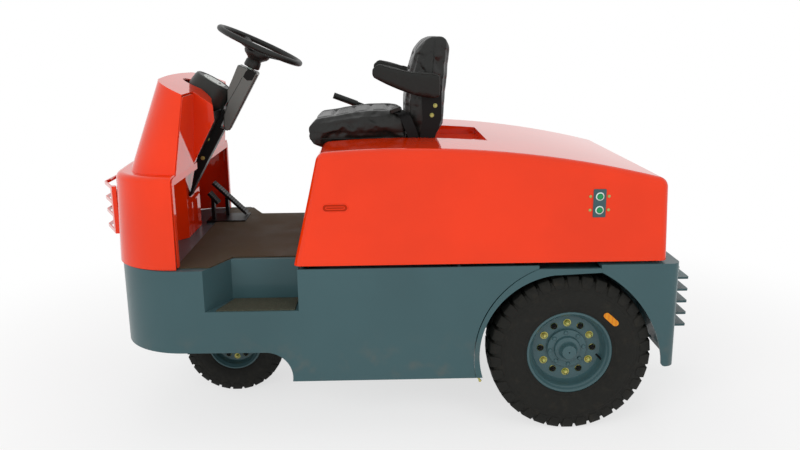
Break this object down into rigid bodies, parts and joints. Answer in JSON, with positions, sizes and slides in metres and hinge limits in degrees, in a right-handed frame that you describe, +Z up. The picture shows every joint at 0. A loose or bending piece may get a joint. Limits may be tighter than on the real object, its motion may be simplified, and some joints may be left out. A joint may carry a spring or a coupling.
{
  "type": "electric tow tractor",
  "caption": "Sit-on electric tow tractor with a central twin front wheel, high cowl, tipping hood with seat and a stacked rear drawbar coupling.",
  "frame": {"origin": "On the ground under the middle of the bounding box", "axes": "+X forward, +Y to the driver's left, +Z up"},
  "size_m": [2.62, 1.206, 1.662],
  "materials": {
    "hull_paint": "blue-grey gloss enamel",
    "red_gloss": "orange-red gloss paint on moulded panels",
    "black_paint": "black satin paint",
    "dark_plastic": "dark grey textured moulding",
    "mat_rubber": "ribbed rubber mat",
    "tyre_rubber": "black rubber",
    "rim_paint": "blue-grey enamel",
    "vinyl": "black leatherette",
    "battery_case": "grey battery case",
    "axle_paint": "painted casting",
    "lamp": "clear ribbed lens",
    "green_lens": "green lens in chrome bezel",
    "steel": "bare steel"
  },
  "bodies": {
    "chassis": {"front_hull": "hull_paint", "battery_bay": "hull_paint", "rear_frame": "hull_paint", "fender_left": "hull_paint", "fender_right": "hull_paint", "wheel_housing_left": "hull_paint", "wheel_housing_right": "hull_paint", "floor_mat": "mat_rubber", "step_mat_left": "mat_rubber", "step_mat_right": "mat_rubber", "battery": "battery_case", "drive_axle": "axle_paint", "steering_bearing": "axle_paint", "cowl": "red_gloss", "cowl_top": "red_gloss", "column_shroud": "red_gloss", "knee_panel": "red_gloss", "steering_gear_cover": "red_gloss", "column_cover": "dark_plastic", "column_bracket": "black_paint", "instrument_pod": "dark_plastic", "pedal_base": "black_paint", "accelerator_pedal": "black_paint", "brake_pedal": "black_paint", "lamp_box": "red_gloss", "head_lamp_left": "lamp", "head_lamp_right": "lamp", "lamp_guard": "red_gloss", "drawbar_coupling": "hull_paint", "hinge_ears": "hull_paint"},
    "hood": {"hood": "red_gloss", "hood_hinges": "hull_paint", "seat_rails": "black_paint", "lamp_plate": "hull_paint", "hand_lever": "dark_plastic"},
    "seat": {"seat_pan": "black_paint", "seat_cushion": "vinyl", "seat_backrest": "vinyl", "armrest_pins": "steel"},
    "armrest_left": {"armrest_left": "vinyl"},
    "armrest_right": {"armrest_right": "vinyl"},
    "steering_head": {"steering_head": "axle_paint"},
    "front_wheels": {"front_tyre_left": "tyre_rubber", "front_tyre_right": "tyre_rubber", "front_rim_left": "rim_paint", "front_rim_right": "rim_paint", "front_hub_left": "rim_paint", "front_hub_right": "rim_paint"},
    "rear_wheel_left": {"rear_tyre_left": "tyre_rubber", "rear_rim_left": "rim_paint", "rear_hub_left": "rim_paint"},
    "rear_wheel_right": {"rear_tyre_right": "tyre_rubber", "rear_rim_right": "rim_paint", "rear_hub_right": "rim_paint"},
    "steering_wheel": {"steering_wheel": "dark_plastic"},
    "tow_pin": {"tow_pin": "steel"}
  },
  "joints": [
    {"name": "hood_lid", "type": "hinge", "parent": "chassis", "child": "hood", "pos_m": [-1.03, 0, 0.74], "axis": [0, -1, 0], "range_deg": [0, 60]},
    {"name": "seat_slide", "type": "slide", "parent": "hood", "child": "seat", "axis": [1, 0, 0], "range_m": [-0.06, 0.06]},
    {"name": "armrest_left_fold", "type": "hinge", "parent": "seat", "child": "armrest_left", "pos_m": [-0.092, 0.276, 1.385], "axis": [0, -1, 0], "range_deg": [0, 95]},
    {"name": "armrest_right_fold", "type": "hinge", "parent": "seat", "child": "armrest_right", "pos_m": [-0.092, -0.276, 1.385], "axis": [0, -1, 0], "range_deg": [0, 95]},
    {"name": "steer", "type": "hinge", "parent": "chassis", "child": "steering_head", "pos_m": [0.809, 0, 0.5], "axis": [0, 0, 1], "range_deg": [-60, 60]},
    {"name": "front_wheels_spin", "type": "hinge", "parent": "steering_head", "child": "front_wheels", "pos_m": [0.809, 0, 0.228], "axis": [0, 1, 0], "continuous": true},
    {"name": "rear_left_spin", "type": "hinge", "parent": "chassis", "child": "rear_wheel_left", "pos_m": [-0.642, 0.498, 0.333], "axis": [0, 1, 0], "continuous": true},
    {"name": "rear_right_spin", "type": "hinge", "parent": "chassis", "child": "rear_wheel_right", "pos_m": [-0.642, -0.498, 0.333], "axis": [0, 1, 0], "continuous": true},
    {"name": "steering_wheel_turn", "type": "hinge", "parent": "chassis", "child": "steering_wheel", "pos_m": [0.644, 0, 1.569], "axis": [-0.4289, 0, 0.9033], "range_deg": [-360, 360]},
    {"name": "tow_pin_lift", "type": "slide", "parent": "chassis", "child": "tow_pin", "axis": [0, 0, 1], "range_m": [0, 0.25]}
  ],
  "couplings": [
    {"joint": "steering_wheel_turn", "follows": "steer", "ratio": 6}
  ]
}
